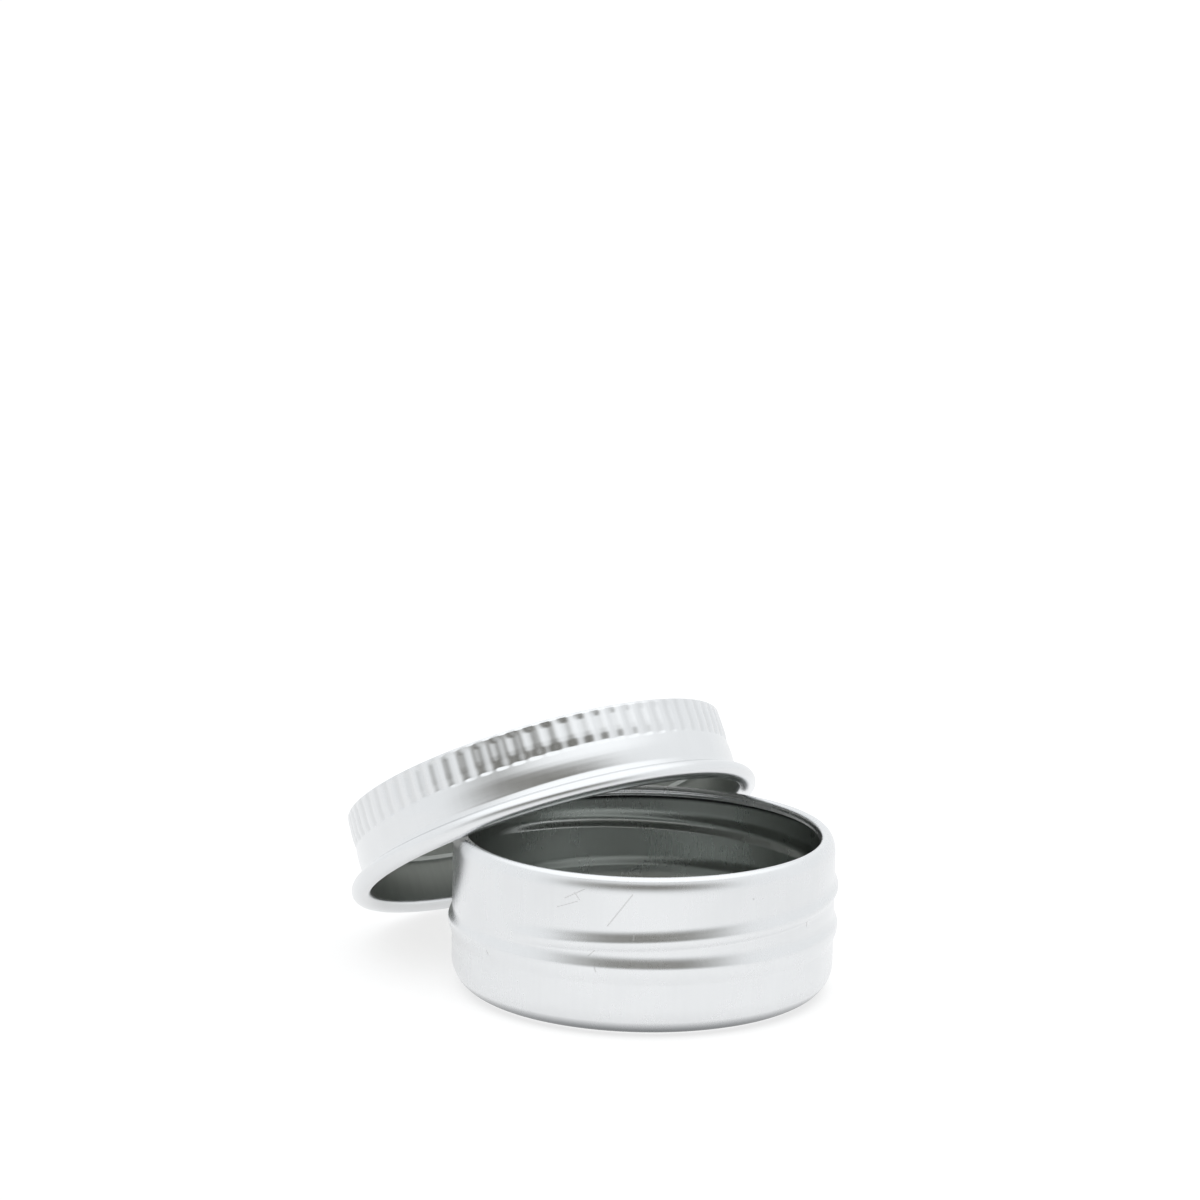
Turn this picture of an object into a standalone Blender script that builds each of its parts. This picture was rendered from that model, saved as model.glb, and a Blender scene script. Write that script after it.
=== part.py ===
"""Screw-lid candle tin, open, with its lid leaning on the rim: three closed solids.

Metres, +Z up. The origin is the centre of the tin's foot. The lid leans towards +Y: its low edge
rests on the ground behind the tin and its high edge lies across the tin's rim.
Angles round the tin are in degrees from +X, counter-clockwise from above.
"""

import math

import bpy
from mathutils import Matrix, Vector

MM = 0.001

# Tin: a drawn aluminium cup with a rolled rim, one helical thread and one stop bead.
TIN_R = 22.8
TIN_HEIGHT = 19.0
TIN_SHEET = 0.35
FOOT_CORNER_R = 3.5
SHOULDER_R = 1.4
ROLL_R = 0.6
LIP_DROP = 0.5
TIN_COLUMNS = 80

STOP_BEAD_Z = 8.1
STOP_BEAD_ABOVE = 1.25
STOP_BEAD_BELOW = 1.4
STOP_BEAD_HEIGHT = 0.45

THREAD_MID_Z = 12.8
THREAD_PITCH = 5.8
THREAD_START = -180.0
THREAD_END = 115.0
THREAD_FADE = 30.0
THREAD_ABOVE = 1.1
THREAD_BELOW = 0.8
THREAD_HEIGHT = 0.5

# Lid: a drawn cap with a knurled band and an outward curl round its open edge.
LID_CURL_R = 25.75
LID_WALL_R = 23.75
LID_BULGE_R = 23.9
LID_INNER_TOP_R = 23.25
LID_HEIGHT = 10.6
LID_SHEET = 0.3
LID_TOP_CORNER_R = 0.8
LID_BULGE_Z = 6.3
KNURLS = 72
KNURL_DEPTH = 0.35
KNURL_LOW_Z = 6.9
KNURL_HIGH_Z = 9.7
KNURL_TAPER = 0.15
CURL_R = (LID_CURL_R - LID_WALL_R + LID_SHEET) / 2
CURL_CENTRE_R = LID_CURL_R - CURL_R
CURL_END = 112.0

# Liner: a loose foam disc under the lid's top.
LINER_R = 22.8
LINER_THICKNESS = 0.8
LINER_GAP = 0.3
LINER_EDGE = 0.2
LINER_COLUMNS = 64

# The lid's lean, and the pivot that takes it from there to level, centred just above the rim.
LEAN_TILT = 30.8
LEAN_OFFSET = 18.25
LEVEL_CLEARANCE = 0.6


def clear_scene():
    for thing in list(bpy.data.objects):
        bpy.data.objects.remove(thing, do_unlink=True)


def material(name, colour, metallic, roughness):
    """A plain Principled material of the node's own."""
    made = bpy.data.materials.new(name)
    made.use_nodes = True
    shader = made.node_tree.nodes["Principled BSDF"]
    shader.inputs["Base Color"].default_value = (*colour, 1.0)
    shader.inputs["Metallic"].default_value = metallic
    shader.inputs["Roughness"].default_value = roughness
    return made


def arc(centre_r, centre_z, radius, first, last, steps):
    """Points of an arc from angle first to last, both ends included."""
    points = []
    for step in range(steps + 1):
        angle = math.radians(first + (last - first) * step / steps)
        points.append((centre_r + radius * math.cos(angle), centre_z + radius * math.sin(angle)))
    return points


def hump(distance, above, below):
    """A smooth ridge: 1 at its crest, 0 at `above` over it and at `below` under it."""
    reach = above if distance > 0 else below
    return 0.5 + 0.5 * math.cos(math.pi * min(abs(distance) / reach, 1.0))


def smooth_step(value):
    value = min(max(value, 0.0), 1.0)
    return value * value * (3.0 - 2.0 * value)


def lathe(name, outline, columns, surface, finish):
    """A closed solid turned from an outline that starts and ends on the axis.

    surface(r, z, angle) moves an outline point for its angle, so beads and knurls are part of
    the same skin. The outline runs with the solid's outside on its right.
    """
    vertices = []
    faces = []
    rows = []
    for r, z in outline:
        if r == 0.0:
            rows.append([len(vertices)] * columns)
            vertices.append(Vector((0.0, 0.0, z)) * MM)
            continue
        rows.append(list(range(len(vertices), len(vertices) + columns)))
        for column in range(columns):
            degrees = 360.0 * column / columns
            radius, height = surface(r, z, degrees)
            turn = math.radians(degrees)
            vertices.append(Vector((radius * math.cos(turn), radius * math.sin(turn), height)) * MM)
    for row, following in zip(rows, rows[1:]):
        for column in range(columns):
            beside = (column + 1) % columns
            corners = [row[column], row[beside], following[beside], following[column]]
            faces.append(list(dict.fromkeys(corners)))
    mesh = bpy.data.meshes.new(name)
    mesh.from_pydata(vertices, [], faces)
    mesh.materials.append(finish)
    mesh.shade_smooth()
    mesh.set_sharp_from_angle(angle=math.radians(35.0))
    made = bpy.data.objects.new(name, mesh)
    bpy.context.scene.collection.objects.link(made)
    return made


def plain(r, z, degrees):
    return r, z


def thread_rise(degrees):
    """How far the thread's crest is from its middle height, and its strength, at an angle."""
    along = (degrees - THREAD_START) % 360.0
    length = THREAD_END - THREAD_START
    if along <= length:
        rise = THREAD_PITCH * (along - length / 2) / 360.0
        strength = smooth_step(along / THREAD_FADE) * smooth_step((length - along) / THREAD_FADE)
        return rise, strength
    back = smooth_step((along - length) / (360.0 - length))
    return THREAD_PITCH * length / 360.0 * (0.5 - back), 0.0


def tin_surface(r, z, degrees):
    """Raises the stop bead and the thread on the tin's wall, inside and out alike."""
    if r < TIN_R - TIN_SHEET - 0.01 or z < FOOT_CORNER_R or z > TIN_HEIGHT - SHOULDER_R - 0.01:
        return r, z
    r += STOP_BEAD_HEIGHT * hump(z - STOP_BEAD_Z, STOP_BEAD_ABOVE, STOP_BEAD_BELOW)
    distance = z - THREAD_MID_Z
    if -THREAD_BELOW - 0.01 < distance < THREAD_ABOVE + 0.01:
        rise, strength = thread_rise(degrees)
        r += THREAD_HEIGHT * strength * hump(distance, THREAD_ABOVE, THREAD_BELOW)
        z += rise
    return r, z


def make_tin(finish):
    """The tin: flat foot, rounded corner, beaded wall, rolled rim and its turned-in lip."""
    bead = [STOP_BEAD_Z + d for d in (-STOP_BEAD_BELOW, -0.8, -0.35, 0.0, 0.4, 0.8, STOP_BEAD_ABOVE)]
    thread = [THREAD_MID_Z + d for d in (-THREAD_BELOW, -0.4, 0.0, 0.4, 0.75, THREAD_ABOVE)]
    wall = bead + thread
    corner_r = TIN_R - FOOT_CORNER_R
    shoulder_r = TIN_R - SHOULDER_R
    shoulder_z = TIN_HEIGHT - SHOULDER_R
    roll_z = TIN_HEIGHT - ROLL_R
    lip_z = roll_z - LIP_DROP
    inner_r = TIN_R - TIN_SHEET
    outline = [(0.0, 0.0)]
    outline += arc(corner_r, FOOT_CORNER_R, FOOT_CORNER_R, -90.0, 0.0, 6)
    outline += [(TIN_R, z) for z in wall]
    outline += arc(shoulder_r, shoulder_z, SHOULDER_R, 0.0, 90.0, 5)
    outline += arc(shoulder_r, roll_z, ROLL_R, 90.0, 180.0, 4)[1:]
    outline += [(shoulder_r - ROLL_R, lip_z), (shoulder_r - ROLL_R + TIN_SHEET, lip_z)]
    outline += arc(shoulder_r, roll_z, ROLL_R - TIN_SHEET, 180.0, 90.0, 2)
    outline += arc(shoulder_r, shoulder_z, SHOULDER_R - TIN_SHEET, 90.0, 0.0, 3)[1:]
    outline += [(inner_r, z) for z in reversed(wall)]
    outline += arc(corner_r, FOOT_CORNER_R, FOOT_CORNER_R - TIN_SHEET, 0.0, -90.0, 4)
    outline += [(0.0, TIN_SHEET)]
    return lathe("tin_base", outline, TIN_COLUMNS, tin_surface, finish)


def lid_surface(r, z, degrees):
    """Cuts the knurls' valleys into the band between KNURL_LOW_Z and KNURL_HIGH_Z."""
    if r < LID_INNER_TOP_R + 0.2 or z < KNURL_LOW_Z - 0.01 or z > KNURL_HIGH_Z + 0.01:
        return r, z
    valley = 0.5 - 0.5 * math.cos(math.radians(KNURLS * degrees))
    return r - KNURL_DEPTH * valley, z


def make_lid(finish):
    """The lid in its own frame: open edge at z = 0, axis +Z, drawn from its inner top outwards."""
    inner_r = LID_WALL_R - LID_SHEET
    ceiling = LID_HEIGHT - LID_SHEET
    inner_corner = 0.5
    rise_r = LID_BULGE_R - LID_SHEET
    knurl_top_r = LID_BULGE_R - KNURL_TAPER
    corner_centre_r = knurl_top_r - 0.15 - LID_TOP_CORNER_R
    corner_centre_z = LID_HEIGHT - LID_TOP_CORNER_R
    outline = [(0.0, ceiling)]
    outline += arc(LID_INNER_TOP_R - inner_corner, ceiling - inner_corner, inner_corner, 90.0, 0.0, 3)
    outline += [(LID_INNER_TOP_R, KNURL_LOW_Z + 0.2), (rise_r, LID_BULGE_Z), (rise_r, LID_BULGE_Z - 0.6)]
    outline += [(inner_r, LID_BULGE_Z - 2.0)]
    outline += arc(CURL_CENTRE_R, CURL_R, CURL_R, 180.0, 360.0 + CURL_END, 10)
    outline += arc(CURL_CENTRE_R, CURL_R, CURL_R - LID_SHEET, 360.0 + CURL_END, 180.0, 6)
    outline += [(LID_WALL_R, LID_BULGE_Z - 2.0), (LID_BULGE_R, LID_BULGE_Z - 0.6)]
    outline += [(LID_BULGE_R, LID_BULGE_Z), (LID_BULGE_R - 0.02, KNURL_LOW_Z - 0.3)]
    outline += [(LID_BULGE_R, KNURL_LOW_Z), (knurl_top_r, KNURL_HIGH_Z)]
    outline += arc(corner_centre_r, corner_centre_z, LID_TOP_CORNER_R, 15.0, 90.0, 3)
    outline += [(0.0, LID_HEIGHT)]
    return lathe("tin_lid", outline, KNURLS * 2, lid_surface, finish)


def make_liner(finish):
    """The foam disc, in the lid's frame."""
    high = LID_HEIGHT - LID_SHEET - LINER_GAP
    low = high - LINER_THICKNESS
    outline = [(0.0, low), (LINER_R - LINER_EDGE, low), (LINER_R, low + LINER_EDGE)]
    outline += [(LINER_R, high - LINER_EDGE), (LINER_R - LINER_EDGE, high), (0.0, high)]
    return lathe("lid_liner", outline, LINER_COLUMNS, plain, finish)


def lean_place():
    """The centre of the lid's mouth at rest, with the curl's lowest point on the ground."""
    tilt = math.radians(LEAN_TILT)
    height = CURL_CENTRE_R * math.sin(tilt) + CURL_R * (1.0 - math.cos(tilt))
    return Vector((0.0, LEAN_OFFSET, height)) * MM


def swing_pivot():
    """The one centre about which the lid turns from its lean to level over the rim."""
    lean = lean_place()
    level = Vector((0.0, 0.0, (TIN_HEIGHT + LEVEL_CLEARANCE) * MM))
    middle = (lean + level) / 2
    travel = level - lean
    reach = 0.5 / math.tan(math.radians(LEAN_TILT) / 2)
    return middle + Vector((0.0, -travel.z, travel.y)) * reach


def main():
    clear_scene()
    aluminium_tin = material("tin_base", (0.80, 0.81, 0.82), 1.0, 0.32)
    aluminium_lid = material("tin_lid", (0.80, 0.81, 0.82), 1.0, 0.32)
    foam = material("lid_liner", (0.90, 0.90, 0.88), 0.0, 0.85)
    make_tin(aluminium_tin)
    lid = make_lid(aluminium_lid)
    liner = make_liner(foam)
    lean = Matrix.Translation(lean_place()) @ Matrix.Rotation(math.radians(-LEAN_TILT), 4, "X")
    lid.matrix_world = lean
    pivot = swing_pivot()
    liner.data.transform(Matrix.Translation(-pivot) @ lean)
    liner.location = pivot
    bpy.context.view_layer.update()


main()
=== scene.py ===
"""Looks for the screw-lid candle tin: the open tin, its leaning knurled lid and the lid's liner.

Metres, +Z up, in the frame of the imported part. The tin stands on the origin. The lid and its liner
are drawn in the lid's own frame, whose origin is the centre of the lid's mouth. Shapes are given in
millimetres and degrees, and lathe turns them into metres.
"""

import math
import bpy
import numpy as np
from mathutils import Matrix, Vector


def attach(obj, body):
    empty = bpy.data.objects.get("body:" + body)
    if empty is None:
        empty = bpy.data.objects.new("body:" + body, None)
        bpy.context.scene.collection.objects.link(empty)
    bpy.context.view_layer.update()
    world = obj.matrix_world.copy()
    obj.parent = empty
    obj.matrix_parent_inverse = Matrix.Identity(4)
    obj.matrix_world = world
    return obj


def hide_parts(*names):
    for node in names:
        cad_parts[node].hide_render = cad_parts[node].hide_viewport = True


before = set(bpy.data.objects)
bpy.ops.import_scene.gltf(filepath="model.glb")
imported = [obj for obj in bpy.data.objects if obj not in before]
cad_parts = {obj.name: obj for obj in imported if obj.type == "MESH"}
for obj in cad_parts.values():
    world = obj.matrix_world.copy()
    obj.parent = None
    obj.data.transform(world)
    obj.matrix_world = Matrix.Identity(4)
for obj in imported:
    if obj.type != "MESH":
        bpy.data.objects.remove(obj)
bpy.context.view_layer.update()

MM = 0.001

# Margin for the tests of where a point of a surface is, against rounding, in millimetres.
HAIR = 0.01

# Tin, in millimetres and degrees. The shoulder is the wall's bend in to the rim.
TIN_R = 22.8
TIN_HEIGHT = 19.0
TIN_SHEET = 0.35
FOOT_CORNER_R = 3.5
NECK_Z = 17.0
SHOULDER_IN = 0.42
SHOULDER_POWER = 2.2
SHOULDER_SLOPE = 26.0
SHOULDER_R = 0.8
ROLL_R = 0.6
LIP_DROP = 0.5
FOOT_RINGS = (6.0, 12.0)
TIN_COLUMNS = 480
WALL_START = 0.3
WALL_FINE_Z = 6.5
WALL_STEP = 0.1
WALL_COARSE_STEP = 0.4
SHOULDER_STEP = 0.06
BEAD_Z = 8.35
BEAD_ABOVE = 1.7
BEAD_BELOW = 1.9
BEAD_HEIGHT = 0.45
BEAD_CREASE = 1.05
THREAD_MID_Z = 13.0
THREAD_PITCH = 5.8
THREAD_START = -180.0
THREAD_LENGTH = 295.0
THREAD_FADE = 30.0
THREAD_ABOVE = 1.6
THREAD_BELOW = 1.1
THREAD_HEIGHT = 0.45
THREAD_CREASE = 1.3
# Bead and thread share the form of their upper side: how round the crest is, how hollow the ramp.
CREST_EASE = 0.27
RAMP_POWER = 1.8
# The lip's cut edge as (r, z) from the lip's lower end: what shows, then what faces the wall.
HEM_SHOWN = [(0.0, 0.25), (-0.1, 0.12), (-0.11, 0.06), (-0.06, 0.0)]
HEM_HIDDEN = [(TIN_SHEET - 0.05, 0.0), (TIN_SHEET, 0.05)]

# Lid, in millimetres and degrees. Heights are from the lid's mouth.
LID_CURL_R = 25.75
LID_WALL_R = 23.75
LID_BULGE_R = 23.9
LID_INNER_TOP_R = 23.25
LID_HEIGHT = 10.6
LID_SHEET = 0.3
LID_CORNER_R = 0.35
LID_CORNER_START = 4.0
LID_CORNER_IN = 0.02
LID_INNER_CORNER_R = 0.5
LID_TOP_RINGS = (8.0, 16.0)
LID_BULGE_Z = 6.3
KNURL_TOP_R = LID_BULGE_R - 0.15
KNURLS = 72
KNURL_COLUMNS = 12
KNURL_DEPTH = 0.15
KNURL_LOW_Z = 6.15
KNURL_LOW_EASE = 0.45
KNURL_HIGH_Z = 9.5
KNURL_END_Z = 10.6
CURL_R = (LID_CURL_R - LID_WALL_R + LID_SHEET) / 2
CURL_CENTRE_R = LID_CURL_R - CURL_R
CURL_END = 112.0
# The outside of the wall as (z, r): a ring over the curl, the plain band, the knurled band.
LID_WALL = [(1.25, 23.80), (2.2, 23.94), (3.1, 23.76), (3.5, 23.80), (4.2, 23.845), (4.8, 23.86)]
LID_WALL += [(5.3, 23.84), (6.5, 23.745), (6.6, 23.745), (7.4, 23.83), (8.0, 23.83)]
LID_WALL += [(LID_HEIGHT - LID_CORNER_R, KNURL_TOP_R)]
LID_WALL_STEP = 0.08
LID_WALL_BLUR = 0.2
# The inside of the plain band as (r, z) from its widest place.
BULGE_INSIDE = [(-0.05, 0.15), (0.0, 0.0), (0.0, -0.6), (-0.06, -1.2)]
BULGE_FOOT = 2.0
INNER_STEP = 0.6
# What tells the knurled outside from the inside: its radius above and below a height.
OUTSIDE_SPLIT_Z = 8.0
OUTSIDE_R_ABOVE = LID_INNER_TOP_R + 0.12
OUTSIDE_R_BELOW = LID_BULGE_R - LID_SHEET + 0.05

# Liner, in millimetres.
LINER_R = 22.8
LINER_THICKNESS = 0.8
LINER_GAP = 0.3
LINER_EDGE = 0.2
LINER_COLUMNS = 192
LINER_RING = 2.0

# Lean of the lid, in degrees, and how far behind the tin's middle its mouth is, in millimetres.
LEAN_TILT = 30.8
LEAN_OFFSET = 18.25

SHARP_ANGLE = 40.0

# Metal: the dark and the light of each finish, and the noise that spreads them, per metre.
TIN_DARK = (0.725, 0.735, 0.745)
TIN_LIGHT = (0.765, 0.775, 0.785)
# The inside colours are darker than the outside metal, with a faint green tint: painted shade for the
# dim inside of the tin.
INSIDE_SHADED_DARK = (0.485, 0.505, 0.49)
INSIDE_SHADED_LIGHT = (0.515, 0.535, 0.52)
# The lid's inside is darker still: painted shade under the lid.
LID_INSIDE_SHADED_DARK = (0.30, 0.32, 0.305)
LID_INSIDE_SHADED_LIGHT = (0.36, 0.38, 0.365)
LINES_SCALE = (2600.0, 2600.0, 90.0)
LINES_ROUGHNESS = 0.006
LINES_SHARE = 0.35
SMUDGES_SCALE = (160.0, 160.0, 160.0)
SMUDGES_ROUGHNESS = 0.02

# Wear and painted shade. Marks on the tin's wall are scratches, ((degrees, z), (degrees, z), width),
# with z in millimetres.
MARK_COLOUR = (0.47, 0.47, 0.46)
MARK_SHARE = 0.5
MARK_ROUGHNESS = 0.15
# The knurls' valleys: painted shade in the recesses, and polish by wear on the crests.
VALLEY_SHADE_AND_WEAR_COLOUR = (0.34, 0.35, 0.35)
VALLEY_SHARE = 0.16
VALLEY_EASE = 0.5
TIN_MARKS = [
    ((-128.9, 17.2), (-136.0, 13.4), 0.10),
    ((-128.2, 12.6), (-128.4, 12.0), 0.08),
    ((-149.0, 16.2), (-143.0, 17.5), 0.09),
    ((-151.5, 15.0), (-145.0, 16.0), 0.07),
    ((-146.0, 17.0), (-144.5, 16.2), 0.08),
    ((-141.5, 9.7), (-139.6, 10.4), 0.09),
    ((-139.4, 8.5), (-139.0, 8.0), 0.12),
    ((-177.0, 7.8), (-176.6, 7.5), 0.14),
    ((-92.2, 16.0), (-92.0, 15.9), 0.14),
    ((-69.2, 11.6), (-69.0, 11.0), 0.12),
]
# Rings of painted shade are (z where it starts, z where it is full, colour), and leave the flat foot
# free of it.
# Painted shade round the foot corner, where it meets the floor: darker towards the bottom.
FOOT_PAINTED_SHADE = (1.9, 0.5, (0.10, 0.11, 0.12))
# Painted shadow on the inside wall, just under the rim's turned-down lip.
HEM_PAINTED_SHADOW = (16.95, 17.3, (0.03, 0.03, 0.03))
# Heights over which the painted shade fades out at the flat foot.
SHADE_FREE_FOOT = (0.05, 0.3)

# Camera, in metres and degrees.
CAMERA_AZIMUTH = -35.22
CAMERA_PITCH = 11.554
CAMERA_ROLL = 0.988
CAMERA_DISTANCE = 0.513198
CAMERA_LENS = 128.82
CAMERA_SIDE = -0.005758
CAMERA_RISE = 0.037149
CAMERA_AIM_Z = 0.00887

# Studio. It stands still in the part's frame, with its unlit side where the main camera is.
# Directions are cosines: towards the unlit side, and up.
STUDIO_AZIMUTH = CAMERA_AZIMUTH
UNLIT_TOWARDS = (0.36, 0.90)
UNLIT_TOP = (0.57, 0.73)
UNLIT_FOOT = (-0.05, 0.48)
UNLIT_COLOUR = (0.13, 0.123, 0.100, 1.0)
LIT_COLOUR = (0.985, 1.0, 1.01, 1.0)
LIT_HEIGHT = (0.55, 0.8)
LIT_STRENGTH = (1.04, 1.36)
FLOOR_HALF = 4.0
FLOOR_COLOUR = (0.38, 0.38, 0.38, 1.0)
FLOOR_GLOW = (0.71, 0.62)
FLOOR_GLOW_REACH = (0.02, 0.06)


# Shapes.


def smooth_step(value):
    value = np.clip(value, 0.0, 1.0)
    return value * value * (3.0 - 2.0 * value)


def ridge(distance, above, below, crease):
    """A ridge: 1 at its crest, a long ramp above it, and a fuller side that creases at its foot."""
    up = np.clip(distance / above, 0.0, 1.0)
    down = np.clip(-distance / below, 0.0, 1.0)
    full_ramp = math.sqrt(1.0 + CREST_EASE**2) - CREST_EASE
    eased = (np.sqrt(up * up + CREST_EASE**2) - CREST_EASE) / full_ramp
    upper = (1.0 - eased) ** RAMP_POWER
    lower = np.cos(math.pi / 2.0 * down) ** crease
    return np.where(distance > 0.0, upper, lower)


def soft_line(points, step, blur):
    """A profile through (z, r) points at even steps of z, its corners rounded over about blur."""
    zs = np.array([p[0] for p in points])
    rs = np.array([p[1] for p in points])
    count = round((zs[-1] - zs[0]) / step)
    z = np.linspace(zs[0], zs[-1], count + 1)
    r = np.interp(z, zs, rs)
    half = max(1, round(blur / step / 2))
    for _ in range(2):
        padded = np.pad(r, half, mode="reflect", reflect_type="odd")
        r = np.convolve(padded, np.ones(2 * half + 1) / (2 * half + 1), mode="valid")
    return list(zip(r, z))


def arc(centre_r, centre_z, radius, first, last, steps):
    """Points of an arc from angle first to last, both ends included."""
    turn = np.radians(np.linspace(first, last, steps + 1))
    return list(zip(centre_r + radius * np.cos(turn), centre_z + radius * np.sin(turn)))


def spread(first, last, step):
    """Even steps from first to last, both included."""
    return list(np.linspace(first, last, max(1, round(abs(last - first) / step)) + 1))


def lathe(name, outline, columns, surface, parts, place=Matrix.Identity(4)):
    """A closed skin turned from an outline that starts and ends on the axis.

    surface(r, z, angle) moves the points, so beads and knurls are part of the same skin.
    parts lists (material, first row) in order, so that inside and outside get different materials.
    """
    rows = len(outline)
    r = np.array([p[0] for p in outline])[:, None]
    z = np.array([p[1] for p in outline])[:, None]
    turn = 2.0 * math.pi * np.arange(columns)[None, :] / columns
    radius, height = surface(r + 0.0 * turn, z + 0.0 * turn, turn + 0.0 * r)
    x = radius * np.cos(turn) * MM
    y = radius * np.sin(turn) * MM
    inner = np.stack([x, y, height * MM], axis=2)[1:-1].reshape(-1, 3)
    poles = [(0.0, 0.0, outline[0][1] * MM), (0.0, 0.0, outline[-1][1] * MM)]
    points = np.concatenate([inner, np.array(poles)])
    first_pole = len(inner)
    column = np.arange(columns)
    beside = (column + 1) % columns
    faces = []
    owner = []
    starts = [row for _, row in parts]

    def part_of(row):
        return sum(1 for start in starts if row >= start) - 1

    faces += [(first_pole, int(b), int(a)) for a, b in zip(column, beside)]
    owner += [part_of(0)] * columns
    for row in range(rows - 3):
        low = row * columns
        high = low + columns
        quads = np.stack([low + column, low + beside, high + beside, high + column], axis=1)
        faces += quads.tolist()
        owner += [part_of(row + 1)] * columns
    last = (rows - 3) * columns
    faces += [(int(last + a), int(last + b), first_pole + 1) for a, b in zip(column, beside)]
    owner += [part_of(rows - 2)] * columns
    mesh = bpy.data.meshes.new(name)
    mesh.from_pydata(points.tolist(), [], faces)
    own = mesh.attributes.new("own_place", "FLOAT_VECTOR", "POINT")
    own.data.foreach_set("vector", points.ravel())
    mesh.transform(place)
    for finish, _ in parts:
        mesh.materials.append(finish)
    mesh.polygons.foreach_set("material_index", owner)
    mesh.shade_smooth()
    mesh.set_sharp_from_angle(angle=math.radians(SHARP_ANGLE))
    mesh.update()
    made = bpy.data.objects.new(name, mesh)
    bpy.context.scene.collection.objects.link(made)
    return made


def thread_rise(degrees):
    """The thread crest's height and strength at an angle round the tin."""
    along = np.mod(degrees - THREAD_START, 360.0)
    on_thread = along <= THREAD_LENGTH
    crest = THREAD_MID_Z + THREAD_PITCH * (along - THREAD_LENGTH / 2.0) / 360.0
    fade_in = smooth_step(along / THREAD_FADE)
    fade_out = smooth_step((THREAD_LENGTH - along) / THREAD_FADE)
    return crest, np.where(on_thread, fade_in * fade_out, 0.0)


def tin_surface(r, z, turn):
    """Raises the stop bead and the thread on the tin's wall, inside and out alike."""
    on_wall = (r > TIN_R - TIN_SHEET - HAIR) & (z > FOOT_CORNER_R + HAIR) & (z < NECK_Z - HAIR)
    crest, strength = thread_rise(np.degrees(turn))
    out = BEAD_HEIGHT * ridge(z - BEAD_Z, BEAD_ABOVE, BEAD_BELOW, BEAD_CREASE)
    out = out + THREAD_HEIGHT * strength * ridge(z - crest, THREAD_ABOVE, THREAD_BELOW, THREAD_CREASE)
    return np.where(on_wall, r + out, r), z


def make_tin(outside, inside):
    """The tin, drawn from the middle of its foot up the outside, round the rim and down inside."""
    corner_r = TIN_R - FOOT_CORNER_R
    slope = math.radians(SHOULDER_SLOPE)
    shoulder_r = TIN_R - SHOULDER_IN - SHOULDER_R * math.cos(slope)
    shoulder_z = TIN_HEIGHT - SHOULDER_R
    ease_height = shoulder_z + SHOULDER_R * math.sin(slope) - NECK_Z
    ease = []
    for share in spread(0.0, 1.0, SHOULDER_STEP)[:-1]:
        ease.append((TIN_R - SHOULDER_IN * share**SHOULDER_POWER, NECK_Z + ease_height * share))
    roll_z = TIN_HEIGHT - ROLL_R
    lip_r = shoulder_r - ROLL_R
    lip_z = roll_z - LIP_DROP
    inner_r = TIN_R - TIN_SHEET
    wall = spread(FOOT_CORNER_R + WALL_START, WALL_FINE_Z - WALL_STEP, WALL_COARSE_STEP)
    wall += spread(WALL_FINE_Z, NECK_Z - WALL_STEP, WALL_STEP)
    outline = [(0.0, 0.0)] + [(r, 0.0) for r in FOOT_RINGS]
    outline += arc(corner_r, FOOT_CORNER_R, FOOT_CORNER_R, -90.0, 0.0, 20)
    outline += [(TIN_R, z) for z in wall]
    outline += ease
    outline += arc(shoulder_r, shoulder_z, SHOULDER_R, SHOULDER_SLOPE, 90.0, 20)
    outline += arc(shoulder_r, roll_z, ROLL_R, 90.0, 180.0, 12)[1:]
    outline += [(lip_r + r, lip_z + z) for r, z in HEM_SHOWN]
    inside_row = len(outline)
    outline += [(lip_r + r, lip_z + z) for r, z in HEM_HIDDEN]
    outline += arc(shoulder_r, roll_z, ROLL_R - TIN_SHEET, 180.0, 90.0, 6)
    outline += arc(shoulder_r, shoulder_z, SHOULDER_R - TIN_SHEET, 90.0, SHOULDER_SLOPE, 12)[1:]
    outline += [(r - TIN_SHEET, z) for r, z in reversed(ease)]
    outline += [(inner_r, z) for z in reversed(wall)]
    outline += arc(corner_r, FOOT_CORNER_R, FOOT_CORNER_R - TIN_SHEET, 0.0, -90.0, 16)
    outline += [(r, TIN_SHEET) for r in reversed(FOOT_RINGS)] + [(0.0, TIN_SHEET)]
    parts = [(outside, 0), (inside, inside_row)]
    return lathe("tin_shell", outline, TIN_COLUMNS, tin_surface, parts)


def lid_surface(r, z, turn):
    """Presses the knurls into the band under the lid's top edge."""
    outer = (r > OUTSIDE_R_BELOW) | ((r > OUTSIDE_R_ABOVE) & (z > OUTSIDE_SPLIT_Z))
    wave = 0.5 - 0.5 * np.cos(KNURLS * turn)
    low_end = np.clip((z - KNURL_LOW_Z) / KNURL_LOW_EASE, 0.0, 1.0)
    high_end = np.clip((KNURL_END_Z - z) / (KNURL_END_Z - KNURL_HIGH_Z), 0.0, 1.0)
    depth = KNURL_DEPTH * smooth_step(low_end) * smooth_step(high_end)
    return np.where(outer & (z < LID_HEIGHT - HAIR), r - depth * wave, r), z


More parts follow.
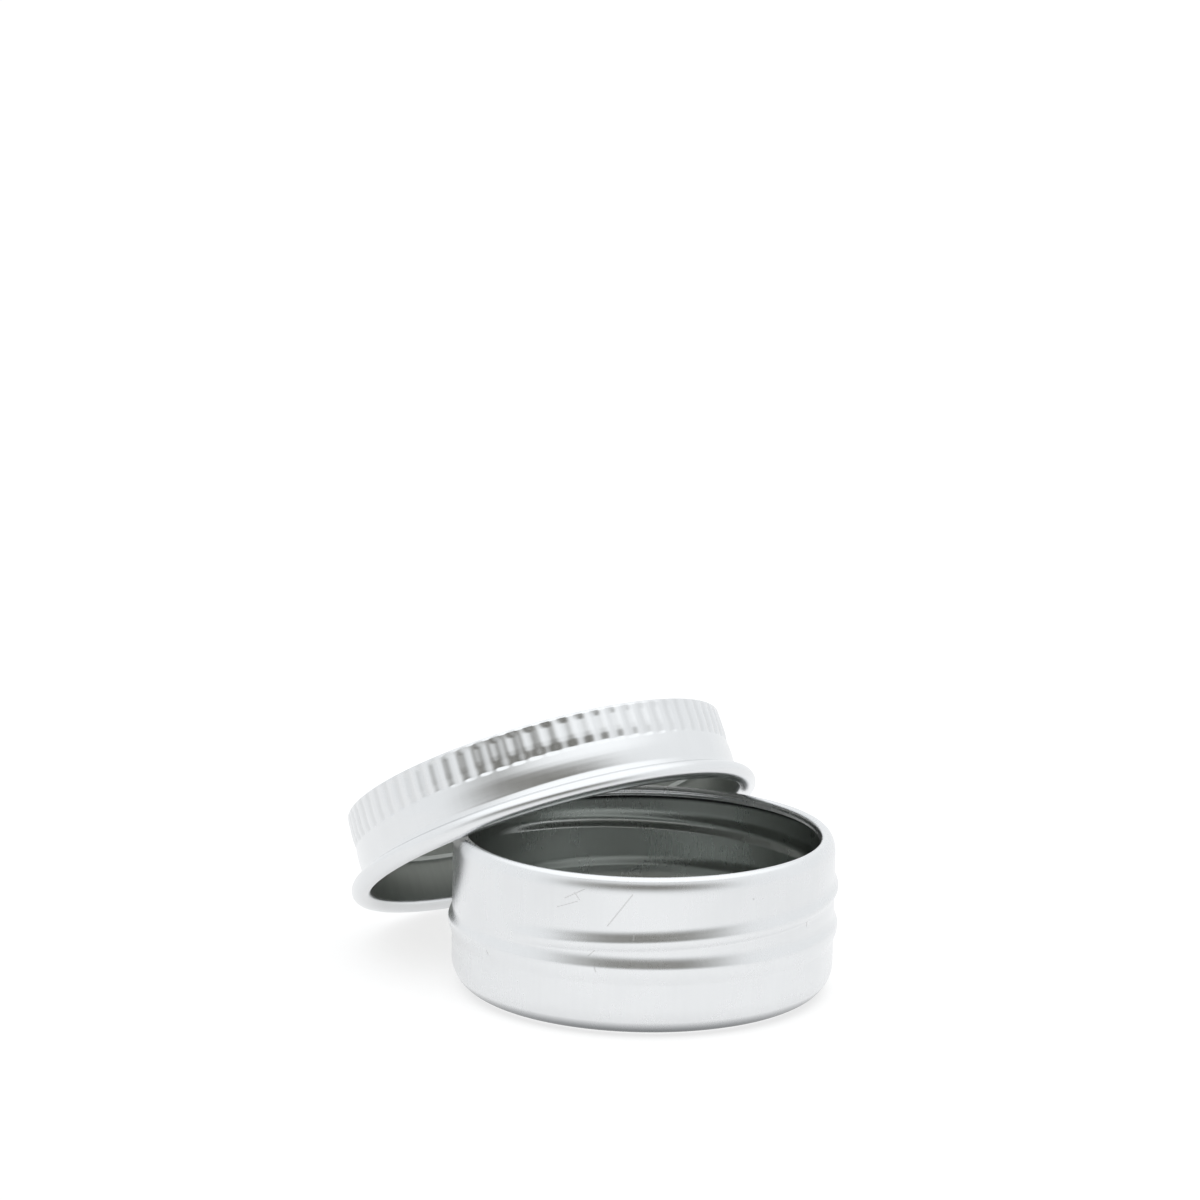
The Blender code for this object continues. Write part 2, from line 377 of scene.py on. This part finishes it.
def make_lid(outside, inside):
    """The lid in its own frame, drawn from its inner top outwards round the open curl."""
    inner_r = LID_WALL_R - LID_SHEET
    ceiling = LID_HEIGHT - LID_SHEET
    bulge_r = LID_BULGE_R - LID_SHEET
    inner_corner_r = LID_INNER_TOP_R - LID_INNER_CORNER_R
    inner_corner_z = ceiling - LID_INNER_CORNER_R
    corner_r = KNURL_TOP_R - LID_CORNER_IN - LID_CORNER_R
    corner_z = LID_HEIGHT - LID_CORNER_R
    outline = [(0.0, ceiling)] + [(r, ceiling) for r in LID_TOP_RINGS]
    outline += arc(inner_corner_r, inner_corner_z, LID_INNER_CORNER_R, 90.0, 0.0, 8)
    outline += [(LID_INNER_TOP_R, KNURL_LOW_Z + INNER_STEP)]
    outline += [(bulge_r + r, LID_BULGE_Z + z) for r, z in BULGE_INSIDE]
    outline += [(inner_r, LID_BULGE_Z - BULGE_FOOT)]
    curl_row = len(outline)
    outline += arc(CURL_CENTRE_R, CURL_R, CURL_R, 180.0, 360.0 + CURL_END, 64)
    outline += arc(CURL_CENTRE_R, CURL_R, CURL_R - LID_SHEET, 360.0 + CURL_END, 180.0, 40)
    outline += soft_line(LID_WALL, LID_WALL_STEP, LID_WALL_BLUR)
    outline += arc(corner_r, corner_z, LID_CORNER_R, LID_CORNER_START, 90.0, 14)
    outline += [(r, LID_HEIGHT) for r in reversed(LID_TOP_RINGS)] + [(0.0, LID_HEIGHT)]
    parts = [(inside, 0), (outside, curl_row)]
    return lathe("lid_shell", outline, KNURLS * KNURL_COLUMNS, lid_surface, parts, lean_matrix())


def plain_surface(r, z, turn):
    """Leaves the turned skin as it is."""
    return r, z


def make_liner(foam):
    """The loose disc under the lid's top, in the lid's own frame."""
    high = LID_HEIGHT - LID_SHEET - LINER_GAP
    low = high - LINER_THICKNESS
    edge_r = LINER_R - LINER_EDGE
    rings = spread(LINER_RING, edge_r - 0.5, LINER_RING)
    outline = [(0.0, low)] + [(r, low) for r in rings]
    outline += arc(edge_r, low + LINER_EDGE, LINER_EDGE, -90.0, 0.0, 5)
    outline += arc(edge_r, high - LINER_EDGE, LINER_EDGE, 0.0, 90.0, 5)
    outline += [(r, high) for r in reversed(rings)] + [(0.0, high)]
    return lathe("liner_disc", outline, LINER_COLUMNS, plain_surface, [(foam, 0)], lean_matrix())


def lean_matrix():
    """The lid's frame at rest: leaning away from the tin, its curl on the ground."""
    tilt = math.radians(LEAN_TILT)
    height = CURL_CENTRE_R * math.sin(tilt) + CURL_R * (1.0 - math.cos(tilt))
    place = Vector((0.0, LEAN_OFFSET, height)) * MM
    return Matrix.Translation(place) @ Matrix.Rotation(-tilt, 4, "X")


# Materials.


class Nodes:
    """A short way to write a material's nodes."""

    def __init__(self, name):
        self.material = bpy.data.materials.new(name)
        self.material.use_nodes = True
        self.tree = self.material.node_tree
        self.shader = self.tree.nodes["Principled BSDF"]
        own = self.tree.nodes.new("ShaderNodeAttribute")
        own.attribute_name = "own_place"
        self.place = own.outputs["Vector"]

    def add(self, kind, **settings):
        node = self.tree.nodes.new(kind)
        for key, value in settings.items():
            setattr(node, key, value)
        return node

    def link(self, source, target):
        self.tree.links.new(source, target)

    def noise(self, scale, detail, roughness):
        """Noise over the object's own coordinates, with its own scale along each axis."""
        mapping = self.add("ShaderNodeMapping")
        mapping.inputs["Scale"].default_value = scale
        self.link(self.place, mapping.inputs["Vector"])
        noise = self.add("ShaderNodeTexNoise")
        noise.inputs["Scale"].default_value = 1.0
        noise.inputs["Detail"].default_value = detail
        noise.inputs["Roughness"].default_value = roughness
        self.link(mapping.outputs["Vector"], noise.inputs["Vector"])
        return noise.outputs["Fac"]

    def span(self, source, low, high, start=0.3, end=0.7, clamp=True):
        """The source from start to end, spread from low to high."""
        node = self.add("ShaderNodeMapRange")
        node.clamp = clamp
        node.inputs["From Min"].default_value = start
        node.inputs["From Max"].default_value = end
        node.inputs["To Min"].default_value = low
        node.inputs["To Max"].default_value = high
        self.link(source, node.inputs["Value"])
        return node.outputs["Result"]

    def calculate(self, operation, first, second=None):
        node = self.add("ShaderNodeMath", operation=operation)
        self.link(first, node.inputs[0])
        if second is not None:
            self.link(second, node.inputs[1])
        return node.outputs["Value"]

    def sum(self, first, second):
        return self.calculate("ADD", first, second)

    def on_off(self, source, start, end):
        """0 where the source is at the start, 1 where it is at the end, even in between."""
        return self.span(source, 0.0, 1.0, start, end)

    def unrolled(self):
        """The own place as (arc round the wall, height, 0), then its height and its angle."""
        parts = self.add("ShaderNodeSeparateXYZ")
        self.link(self.place, parts.inputs[0])
        angle = self.calculate("ARCTAN2", parts.outputs["Y"], parts.outputs["X"])
        joined = self.add("ShaderNodeCombineXYZ")
        self.link(self.span(angle, 0.0, TIN_R * MM, 0.0, 1.0, False), joined.inputs["X"])
        self.link(parts.outputs["Z"], joined.inputs["Y"])
        return joined.outputs["Vector"], parts.outputs["Z"], angle

    def scratch(self, flat, start, end, width):
        """1 on a straight scratch between two (degrees, z) places of the wall, 0 away from it."""
        first, last = (Vector((math.radians(a) * TIN_R, z, 0.0)) * MM for a, z in (start, end))
        reach = last - first
        offset = self.add("ShaderNodeVectorMath", operation="SUBTRACT")
        offset.inputs[1].default_value = first
        self.link(flat, offset.inputs[0])
        along = self.add("ShaderNodeVectorMath", operation="DOT_PRODUCT")
        along.inputs[1].default_value = reach / reach.length_squared
        self.link(offset.outputs["Vector"], along.inputs[0])
        share = self.on_off(along.outputs["Value"], 0.0, 1.0)
        nearest = self.add("ShaderNodeVectorMath", operation="SCALE")
        nearest.inputs[0].default_value = reach
        self.link(share, nearest.inputs["Scale"])
        gap = self.add("ShaderNodeVectorMath", operation="DISTANCE")
        self.link(offset.outputs["Vector"], gap.inputs[0])
        self.link(nearest.outputs["Vector"], gap.inputs[1])
        return self.on_off(gap.outputs["Value"], width * MM, 0.3 * width * MM)

    def colours(self, factor, low, high):
        """From the low colour to the high one by the factor."""
        node = self.add("ShaderNodeMix", data_type="RGBA")
        node.inputs["A"].default_value = (*low, 1.0)
        node.inputs["B"].default_value = (*high, 1.0)
        self.link(factor, node.inputs["Factor"])
        return node.outputs["Result"]

    def blend(self, factor, colour, other):
        """The colour, turned towards another one by the factor."""
        node = self.add("ShaderNodeMix", data_type="RGBA")
        self.link(colour, node.inputs["A"])
        node.inputs["B"].default_value = (*other, 1.0)
        self.link(factor, node.inputs["Factor"])
        return node.outputs["Result"]

    def bump(self, height, distance):
        node = self.add("ShaderNodeBump")
        node.inputs["Strength"].default_value = 1.0
        node.inputs["Distance"].default_value = distance
        self.link(height, node.inputs["Height"])
        self.link(node.outputs["Normal"], self.shader.inputs["Normal"])


def valley_shade_and_wear(nodes, colour, height, angle):
    """The colour, darker in the knurls' valleys: painted shade in the recesses, and the crests
    polished bright by wear.
    """
    wave = nodes.calculate("COSINE", nodes.span(angle, 0.0, KNURLS, 0.0, 1.0, False))
    low = nodes.on_off(height, KNURL_LOW_Z * MM, (KNURL_LOW_Z + VALLEY_EASE) * MM)
    high = nodes.on_off(height, (LID_HEIGHT - 0.05) * MM, (LID_HEIGHT - 0.15) * MM)
    valley = nodes.calculate("MULTIPLY", nodes.span(wave, VALLEY_SHARE, 0.0, -1.0, 0.4), low)
    return nodes.blend(nodes.calculate("MULTIPLY", valley, high), colour, VALLEY_SHADE_AND_WEAR_COLOUR)


def scratched(nodes, colour, rough, flat, marks):
    """The colour and the roughness, with marks scratched into both."""
    worn = None
    for start, end, width in marks:
        mark = nodes.scratch(flat, start, end, width)
        worn = mark if worn is None else nodes.calculate("MAXIMUM", worn, mark)
    if worn is not None:
        colour = nodes.blend(nodes.span(worn, 0.0, MARK_SHARE, 0.0, 1.0), colour, MARK_COLOUR)
        rough = nodes.sum(rough, nodes.span(worn, 0.0, MARK_ROUGHNESS, 0.0, 1.0))
    return colour, rough


def satin_metal(name, dark, light, roughness, relief, marks=(), painted_shades=(), knurled=False):
    """Drawn aluminium: fine lines along the draw, soft smudges and a little colour variation.

    relief is the height of the lines in metres. marks add scratches as wear, the rings of colour add
    painted shade, and knurled adds painted shade in the knurls' valleys, with wear on their crests.
    """
    nodes = Nodes(name)
    lines = nodes.noise(LINES_SCALE, 2.0, 0.5)
    smudges = nodes.noise(SMUDGES_SCALE, 4.0, 0.55)
    tone = nodes.sum(nodes.span(lines, 0.0, LINES_SHARE), nodes.span(smudges, 0.0, 1.0 - LINES_SHARE))
    colour = nodes.colours(tone, dark, light)
    lined = nodes.span(lines, roughness - LINES_ROUGHNESS, roughness + LINES_ROUGHNESS)
    rough = nodes.sum(lined, nodes.span(smudges, -SMUDGES_ROUGHNESS, SMUDGES_ROUGHNESS))
    flat, height, angle = nodes.unrolled()
    if knurled:
        # Painted shade in the knurls' valleys, with wear on their crests.
        colour = valley_shade_and_wear(nodes, colour, height, angle)
    colour, rough = scratched(nodes, colour, rough, flat, marks)
    # Each ring paints shade into the colour, and stays off the flat foot.
    for start, full, shade_colour in painted_shades:
        ring = nodes.on_off(height, start * MM, full * MM)
        off_the_foot = nodes.on_off(height, SHADE_FREE_FOOT[0] * MM, SHADE_FREE_FOOT[1] * MM)
        colour = nodes.blend(nodes.calculate("MULTIPLY", ring, off_the_foot), colour, shade_colour)
    nodes.link(colour, nodes.shader.inputs["Base Color"])
    nodes.shader.inputs["Metallic"].default_value = 1.0
    nodes.link(rough, nodes.shader.inputs["Roughness"])
    nodes.bump(lines, relief)
    return nodes.material


def foam_material():
    """White closed-cell foam: fine cells, and a tone that drifts over the disc."""
    nodes = Nodes("liner_foam")
    cells = nodes.noise((2600.0, 2600.0, 2600.0), 2.0, 0.5)
    tone = nodes.noise((120.0, 120.0, 120.0), 3.0, 0.5)
    mixed = nodes.sum(nodes.span(cells, 0.0, 0.5), nodes.span(tone, 0.0, 0.5))
    colour = nodes.colours(mixed, (0.80, 0.80, 0.77), (0.92, 0.92, 0.90))
    nodes.link(colour, nodes.shader.inputs["Base Color"])
    nodes.link(nodes.span(cells, 0.75, 0.95), nodes.shader.inputs["Roughness"])
    nodes.bump(cells, 0.00006)
    return nodes.material


def floor_material():
    """A matt pale floor that glows a little, less so to the two sides of the object."""
    nodes = Nodes("floor_pale")
    nodes.shader.inputs["Base Color"].default_value = FLOOR_COLOUR
    nodes.shader.inputs["Roughness"].default_value = 0.9
    nodes.shader.inputs["Specular IOR Level"].default_value = 0.0
    nodes.shader.inputs["Emission Color"].default_value = (1.0, 1.0, 1.0, 1.0)
    azimuth = math.radians(STUDIO_AZIMUTH)
    across = nodes.add("ShaderNodeVectorMath", operation="DOT_PRODUCT")
    across.inputs[1].default_value = (math.cos(azimuth), math.sin(azimuth), 0.0)
    nodes.link(nodes.add("ShaderNodeNewGeometry").outputs["Position"], across.inputs[0])
    away = nodes.calculate("ABSOLUTE", across.outputs["Value"])
    glow = nodes.span(away, *FLOOR_GLOW, *FLOOR_GLOW_REACH)
    nodes.link(glow, nodes.shader.inputs["Emission Strength"])
    return nodes.material


# Stage, light and camera.


def make_floor():
    half = FLOOR_HALF
    mesh = bpy.data.meshes.new("floor")
    corners = [(-half, -half, 0.0), (half, -half, 0.0), (half, half, 0.0), (-half, half, 0.0)]
    mesh.from_pydata(corners, [], [(0, 1, 2, 3)])
    mesh.materials.append(floor_material())
    floor = bpy.data.objects.new("floor", mesh)
    bpy.context.scene.collection.objects.link(floor)


def make_world():
    """A bright studio all round, with an unlit side low down that the metal mirrors as grey."""
    world = bpy.data.worlds.new("studio")
    bpy.context.scene.world = world
    world.use_nodes = True
    tree = world.node_tree
    background = tree.nodes["Background"]
    coordinates = tree.nodes.new("ShaderNodeTexCoord")
    azimuth = math.radians(STUDIO_AZIMUTH)

    def dot(direction):
        node = tree.nodes.new("ShaderNodeVectorMath")
        node.operation = "DOT_PRODUCT"
        node.inputs[1].default_value = direction
        tree.links.new(coordinates.outputs["Generated"], node.inputs[0])
        return node.outputs["Value"]

    def ramp(source, start, end, low, high):
        node = tree.nodes.new("ShaderNodeMapRange")
        node.interpolation_type = "SMOOTHSTEP"
        node.inputs["From Min"].default_value = start
        node.inputs["From Max"].default_value = end
        node.inputs["To Min"].default_value = low
        node.inputs["To Max"].default_value = high
        tree.links.new(source, node.inputs["Value"])
        return node.outputs["Result"]

    def times(first, second):
        node = tree.nodes.new("ShaderNodeMath")
        node.operation = "MULTIPLY"
        tree.links.new(first, node.inputs[0])
        tree.links.new(second, node.inputs[1])
        return node.outputs["Value"]

    towards = dot((math.sin(azimuth), -math.cos(azimuth), 0.0))
    height = dot((0.0, 0.0, 1.0))
    unlit = times(ramp(towards, *UNLIT_TOWARDS, 0.0, 1.0), ramp(height, *UNLIT_TOP, 1.0, 0.0))
    unlit = times(unlit, ramp(height, *UNLIT_FOOT, 0.0, 1.0))
    tree.links.new(ramp(height, *LIT_HEIGHT, *LIT_STRENGTH), background.inputs["Strength"])
    tint = tree.nodes.new("ShaderNodeMix")
    tint.data_type = "RGBA"
    tint.inputs["A"].default_value = LIT_COLOUR
    tint.inputs["B"].default_value = UNLIT_COLOUR
    tree.links.new(unlit, tint.inputs["Factor"])
    tree.links.new(tint.outputs["Result"], background.inputs["Color"])


def make_camera():
    azimuth = math.radians(CAMERA_AZIMUTH)
    pitch = math.radians(CAMERA_PITCH)
    roll = math.radians(CAMERA_ROLL)
    side = Vector((math.cos(azimuth), math.sin(azimuth), 0.0))
    ahead = Vector((-math.sin(azimuth), math.cos(azimuth), 0.0))
    forward = math.cos(pitch) * ahead - Vector((0.0, 0.0, math.sin(pitch)))
    up = math.sin(pitch) * ahead + Vector((0.0, 0.0, math.cos(pitch)))
    place = Vector((0.0, 0.0, CAMERA_AIM_Z)) + CAMERA_SIDE * side + CAMERA_RISE * up
    place -= CAMERA_DISTANCE * forward
    right = math.cos(roll) * side + math.sin(roll) * up
    top = -math.sin(roll) * side + math.cos(roll) * up
    turned = Matrix((right, top, -forward)).transposed().to_4x4()
    data = bpy.data.cameras.new("camera")
    data.lens = CAMERA_LENS
    data.sensor_width = 36.0
    data.clip_start = 0.01
    data.clip_end = 20.0
    camera = bpy.data.objects.new("camera", data)
    camera.matrix_world = Matrix.Translation(place) @ turned
    bpy.context.scene.collection.objects.link(camera)
    bpy.context.scene.camera = camera


def main():
    outside = satin_metal("tin_metal", TIN_DARK, TIN_LIGHT, 0.27, 9e-7, TIN_MARKS, [FOOT_PAINTED_SHADE])
    # The insides are darker copies of the metal: painted shade.
    inside = satin_metal("tin_inside", INSIDE_SHADED_DARK, INSIDE_SHADED_LIGHT, 0.28, 2e-7, (), [HEM_PAINTED_SHADOW])
    lid_outside = satin_metal("lid_metal", TIN_DARK, TIN_LIGHT, 0.25, 9e-7, knurled=True)
    lid_inside = satin_metal("lid_inside", LID_INSIDE_SHADED_DARK, LID_INSIDE_SHADED_LIGHT, 0.30, 4e-7)
    tin = make_tin(outside, inside)
    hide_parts("tin_base")
    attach(tin, "tin")
    lid = make_lid(lid_outside, lid_inside)
    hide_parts("tin_lid")
    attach(lid, "lid")
    liner = make_liner(foam_material())
    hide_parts("lid_liner")
    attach(liner, "liner")
    make_floor()
    make_world()
    make_camera()
    bpy.context.scene.view_settings.view_transform = "Standard"


main()
